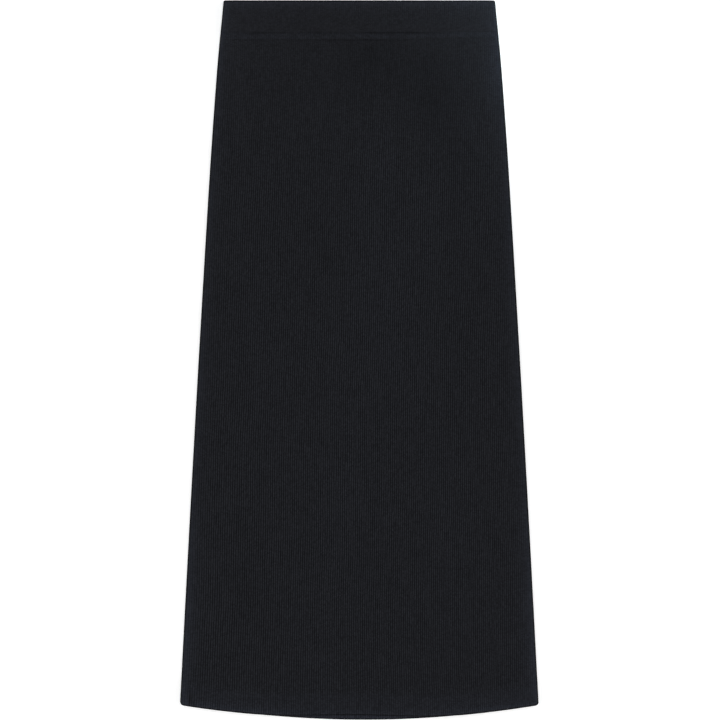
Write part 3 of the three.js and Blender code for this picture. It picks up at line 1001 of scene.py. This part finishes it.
def knit_group():
    tree = bpy.data.node_groups.new("Rib knit", "ShaderNodeTree")
    link = tree.links.new

    def socket(name, kind, side="INPUT"):
        tree.interface.new_socket(name, in_out=side, socket_type="NodeSocket" + kind)

    def calc(operation, *values):
        made = node(tree, "ShaderNodeMath", operation=operation)
        for entry, value in zip(made.inputs, values):
            if isinstance(value, (int, float)):
                entry.default_value = value
            else:
                link(value, entry)
        return made.outputs[0]

    socket("Map", "Vector")
    for name in ("Painted light and shade", "Pressed", "Course length", "Groove darkness", "Mottle"):
        socket(name, "Float")
    socket("Yarn colour", "Color")
    socket("Painted light yarn colour", "Color")
    socket("Colour", "Color", "OUTPUT")
    socket("Height", "Float", "OUTPUT")
    socket("Roughness", "Float", "OUTPUT")
    into = node(tree, "NodeGroupInput").outputs
    out = node(tree, "NodeGroupOutput").inputs

    parts = node(tree, "ShaderNodeSeparateXYZ")
    link(into["Map"], parts.inputs[0])
    across, down = parts.outputs["X"], parts.outputs["Y"]

    # Each rib wavers a little, over a few centimetres
    stretched = node(tree, "ShaderNodeVectorMath", operation="MULTIPLY")
    stretched.inputs[1].default_value = (1, 1 / WAVER_LENGTH, 0)
    link(into["Map"], stretched.inputs[0])
    waver = node(tree, "ShaderNodeTexNoise", noise_dimensions="2D")
    fill(waver, {"Scale": 1.0, "Detail": 1.0})
    link(stretched.outputs[0], waver.inputs["Vector"])
    across = calc("MULTIPLY_ADD", calc("SUBTRACT", waver.outputs["Fac"], 0.5), WAVER, across)

    # Distance from the rib's middle, 0 on the crest and 1 in the groove
    shifted = calc("ADD", across, 0.5)
    within = calc("SUBTRACT", calc("FRACT", shifted), 0.5)
    off = calc("MULTIPLY", calc("ABSOLUTE", within), 2.0)
    groove = calc("POWER", off, GROOVE_NARROW)

    # V-shaped stitches: a course comes later away from the rib's middle
    course = calc("DIVIDE", down, into["Course length"])
    leaning = calc("MULTIPLY_ADD", off, -COURSE_LATER, course)
    phase = calc("SUBTRACT", calc("FRACT", leaning), 0.5)
    leg = calc("SUBTRACT", 1.0, calc("POWER", calc("MULTIPLY", phase, 2.0), 2.0))
    stitch = calc("MULTIPLY", leg, calc("SMOOTH_MIN", calc("MULTIPLY", off, LEG_RISE), 1.0, 0.3))

    place = node(tree, "ShaderNodeTexCoord")

    def cloud(size, detail=1.0):
        made = node(tree, "ShaderNodeTexNoise", noise_dimensions="3D")
        fill(made, {"Scale": 1 / (size * MM), "Detail": detail})
        link(place.outputs["Object"], made.inputs["Vector"])
        return calc("SUBTRACT", made.outputs["Fac"], 0.5)

    fuzz = cloud(FUZZ_SIZE, FUZZ_DETAIL)
    raised = calc("MULTIPLY", stitch, STITCH_BUMP)
    link(calc("MULTIPLY_ADD", fuzz, FUZZ_BUMP, raised), out["Height"])
    link(calc("MULTIPLY_ADD", fuzz, FUZZ_ROUGH, ROUGHNESS), out["Roughness"])

    # Every stitch takes the dye and the light a little differently
    cell = node(tree, "ShaderNodeCombineXYZ")
    link(calc("FLOOR", shifted), cell.inputs["X"])
    link(calc("FLOOR", leaning), cell.inputs["Y"])
    own = node(tree, "ShaderNodeTexWhiteNoise", noise_dimensions="2D")
    link(cell.outputs[0], own.inputs["Vector"])
    mottle = calc("MULTIPLY", calc("SUBTRACT", own.outputs["Value"], 0.5), OWN_SHADE)
    for size, strength in CLOUDS:
        mottle = calc("MULTIPLY_ADD", cloud(size), strength, mottle)
    mottle = calc("MULTIPLY", mottle, into["Mottle"])
    lit = calc("MULTIPLY_ADD", stitch, STITCH_LIT, calc("ADD", mottle, MEAN_LIT))

    # Pressed ribs lose the contrast of their grooves, but not their mean shade
    left_open = calc("SUBTRACT", 1.0, into["Pressed"])
    from_mean = calc("SUBTRACT", groove, MEAN_GROOVE)
    evened = calc("MULTIPLY_ADD", from_mean, left_open, MEAN_GROOVE)
    shade = calc("MULTIPLY", evened, into["Groove darkness"])
    value = calc("MULTIPLY", lit, calc("SUBTRACT", 1.0, shade))

    # Below zero the map is painted shade, which takes light away instead of changing the yarn
    below_zero = calc("MINIMUM", into["Painted light and shade"], 0.0)
    left_lit = calc("MAXIMUM", calc("ADD", below_zero, 1.0), DARKEST)
    value = calc("MAXIMUM", calc("MULTIPLY", value, left_lit), LOWEST_VALUE)
    tone = node(tree, "ShaderNodeCombineXYZ")
    for axis in tone.inputs:
        link(value, axis)
    yarn = node(tree, "ShaderNodeMix", data_type="RGBA")
    link(into["Painted light and shade"], yarn.inputs["Factor"])
    link(into["Yarn colour"], yarn.inputs["A"])
    link(into["Painted light yarn colour"], yarn.inputs["B"])
    colour = node(tree, "ShaderNodeMix", data_type="RGBA", blend_type="MULTIPLY")
    fill(colour, {"Factor": 1.0})
    link(yarn.outputs["Result"], colour.inputs["A"])
    link(tone.outputs[0], colour.inputs["B"])
    link(colour.outputs["Result"], out["Colour"])
    return tree


rib_group = knit_group()
print("knit group with", len(rib_group.nodes), "nodes")

# %% Make the cloth materials
BLACK_YARN = (0.0173, 0.0183, 0.0221)
BAND_YARN = (0.0157, 0.0165, 0.0200)
# The paler, bluer yarn that the painted light mixes in
PAINTED_LIGHT_YARN = (0.0330, 0.0370, 0.0500)
SHEEN_TINT = (0.62, 0.68, 0.85)
DULL = 0.06  # specular level of yarn and thread


def knit_material(title, yarn, course, groove, mottle):
    """course is the length of a stitch, groove how dark the grooves are, mottle how uneven it is."""
    sheen = {"Sheen Weight": 0.02, "Sheen Roughness": 0.45, "Sheen Tint": (*SHEEN_TINT, 1)}
    material, tree, shader = new_material(title, {"Specular IOR Level": DULL, **sheen})
    group = node(tree, "ShaderNodeGroup", node_tree=rib_group)
    fill(group, {"Yarn colour": (*yarn, 1), "Painted light yarn colour": (*PAINTED_LIGHT_YARN, 1)})
    fill(group, {"Course length": course, "Groove darkness": groove, "Mottle": mottle})
    uv = node(tree, "ShaderNodeUVMap", uv_map="knit")
    tree.links.new(uv.outputs["UV"], group.inputs["Map"])
    for label, name in (("painted_light_and_shade", "Painted light and shade"), ("pressed", "Pressed")):
        spread = node(tree, "ShaderNodeAttribute", attribute_name=label)
        tree.links.new(spread.outputs["Fac"], group.inputs[name])
    tree.links.new(group.outputs["Colour"], shader.inputs["Base Color"])
    tree.links.new(group.outputs["Roughness"], shader.inputs["Roughness"])
    bump = node(tree, "ShaderNodeBump")
    fill(bump, {"Strength": 0.6, "Distance": 0.3 * MM})
    tree.links.new(group.outputs["Height"], bump.inputs["Height"])
    tree.links.new(bump.outputs["Normal"], shader.inputs["Normal"])
    return material


skirt_knit = knit_material("skirt_rib_knit", BLACK_YARN, course=1.35, groove=0.80, mottle=1.0)
band_knit = knit_material("waistband_rib_knit", BAND_YARN, course=1.30, groove=0.50, mottle=0.9)
for piece in (front, back):
    piece.data.materials.append(skirt_knit)
for piece in (band, band_back):
    piece.data.materials.append(band_knit)
print("cloth materials:", skirt_knit.name, band_knit.name)

# %% Make the thread material
PLY_DARK = (0.0035, 0.0035, 0.0045)
PLY_PALE = (0.0075, 0.0075, 0.0090)
PLY_SCALE = 900.0


def thread_material():
    """Twisted thread: its plies show as slanting bands in colour and height."""
    dull = {"Specular IOR Level": DULL, "Roughness": 0.6}
    material, tree, shader = new_material("sewing_thread", dull)
    link = tree.links.new
    place = node(tree, "ShaderNodeTexCoord")
    plies = node(tree, "ShaderNodeTexWave", wave_type="BANDS", bands_direction="DIAGONAL")
    fill(plies, {"Scale": PLY_SCALE})
    link(place.outputs["Object"], plies.inputs["Vector"])
    tone = node(tree, "ShaderNodeMix", data_type="RGBA")
    fill(tone, {"A": (*PLY_DARK, 1), "B": (*PLY_PALE, 1)})
    link(plies.outputs["Fac"], tone.inputs["Factor"])
    link(tone.outputs["Result"], shader.inputs["Base Color"])
    bump = node(tree, "ShaderNodeBump")
    fill(bump, {"Distance": 0.1 * MM})
    link(plies.outputs["Fac"], bump.inputs["Height"])
    link(bump.outputs["Normal"], shader.inputs["Normal"])
    return material


thread = thread_material()
sewing = [topstitching, hem_stitching]
for piece in sewing:
    piece.data.materials.append(thread)

# %% [markdown]
# ## What each piece was cut to
# A sheet of cloth has a size before it is sewn. The part of each piece's cut that shows is the
# width at its widest and the length with the hem turned up. Its area is less than width times
# length, because it narrows to the waist.


# %% [markdown]
# ## Table, light and camera
# The skirt lies on a white table under wide soft lights, the way flat garments are photographed.
# The table is bright enough to show as white, and against it black cloth is only told by its sheen
# and relief. A small cool light low beyond the upper right corner brushes that corner brighter, and
# a much weaker one keeps the table white beyond the upper left. The camera hangs straight above,
# far away with a long lens, so that the sides are seen without perspective. All of these are placed
# in metres.

# %% Lay the table
TABLE_HALF = 4.0
TABLE_Z = -0.0001
table_corners = [
    (x * TABLE_HALF, y * TABLE_HALF, TABLE_Z) for x, y in ((-1, -1), (1, -1), (1, 1), (-1, 1))
]
table_mesh = bpy.data.meshes.new("table")
table_mesh.from_pydata(table_corners, [], [(0, 1, 2, 3)])
table = add_object("table", table_mesh)
matt = {"Base Color": (0.93, 0.93, 0.93, 1), "Roughness": 0.9}
glow = {"Emission Color": (1, 1, 1, 1), "Emission Strength": 0.30}
table_paint, _, _ = new_material("white_table", {**matt, **glow})
table_mesh.materials.append(table_paint)

# %% Hang the lights
WHITE = (1, 1, 1)
COOL_WHITE = (0.92, 0.97, 1)
COOL = (0.70, 0.92, 1)
FAINTLY_COOL = (0.90, 0.96, 1)
LIGHTS = (  # name, place, aim, size, power, colour
    ("overhead", (0, -1.0, 2.4), (0, -0.25, 0), (2.2, 2.2), 26.5, WHITE),
    ("right_side", (1.7, 0, 0.85), (0, 0, 0), (2.6, 0.6), 23, WHITE),
    ("left_side", (-1.7, 0, 0.85), (0, 0, 0), (2.6, 0.6), 22, WHITE),
    ("head", (0, 2.6, 1.4), (0, 0, 0), (1.6, 0.6), 5, COOL_WHITE),
    ("right_corner", (0.236, 0.425, 0.100), (0.16, 0.39, 0), (0.28, 0.06), 0.152, COOL),
    ("left_corner", (-0.236, 0.425, 0.100), (-0.16, 0.39, 0), (0.28, 0.06), 0.028, FAINTLY_COOL),
)


def soft_light(name, place, aim, size, power, colour):
    """A wide light that is turned to what it aims at and isn't seen itself."""
    data = bpy.data.lights.new(name, "AREA")
    data.shape = "RECTANGLE"
    data.size, data.size_y = size
    data.energy = power
    data.color = colour
    light = add_object(name, data)
    light.location = place
    light.visible_camera = False
    light.rotation_euler = (Vector(aim) - Vector(place)).to_track_quat("-Z", "Y").to_euler()


for light in LIGHTS:
    soft_light(*light)
world = bpy.data.worlds.new("studio")
world.use_nodes = True
fill(world.node_tree.nodes["Background"], {"Color": (*WHITE, 1), "Strength": 0.12})
bpy.context.scene.world = world
bpy.context.scene.view_settings.view_transform = "Standard"
print(len(bpy.data.lights), "lights")

# %% Set up the camera
PHOTO_SIZE = 720
PHOTO_TOP_FOLD = 0.72  # row of the top fold in the picture
PHOTO_HEM = 719.39  # row of the lowest point of the hem
PHOTO_CENTRE_LINE = 359.3  # column of the skirt's centre line
CAMERA_HEIGHT = 3.2
SENSOR = 36.0

pixel = LENGTH * MM / (PHOTO_HEM - PHOTO_TOP_FOLD)
camera_data = bpy.data.cameras.new("camera")
camera_data.sensor_width = SENSOR
camera_data.lens = SENSOR * (CAMERA_HEIGHT - front_single * MM) / (PHOTO_SIZE * pixel)
camera = add_object("camera", camera_data)
camera.location = (
    (PHOTO_SIZE / 2 - PHOTO_CENTRE_LINE) * pixel,
    TOP * MM - (PHOTO_SIZE / 2 - PHOTO_TOP_FOLD) * pixel,
    CAMERA_HEIGHT,
)
bpy.context.scene.camera = camera
print(f"lens {camera_data.lens:.1f} mm at {CAMERA_HEIGHT} m, {pixel / MM:.4f} mm to a pixel")
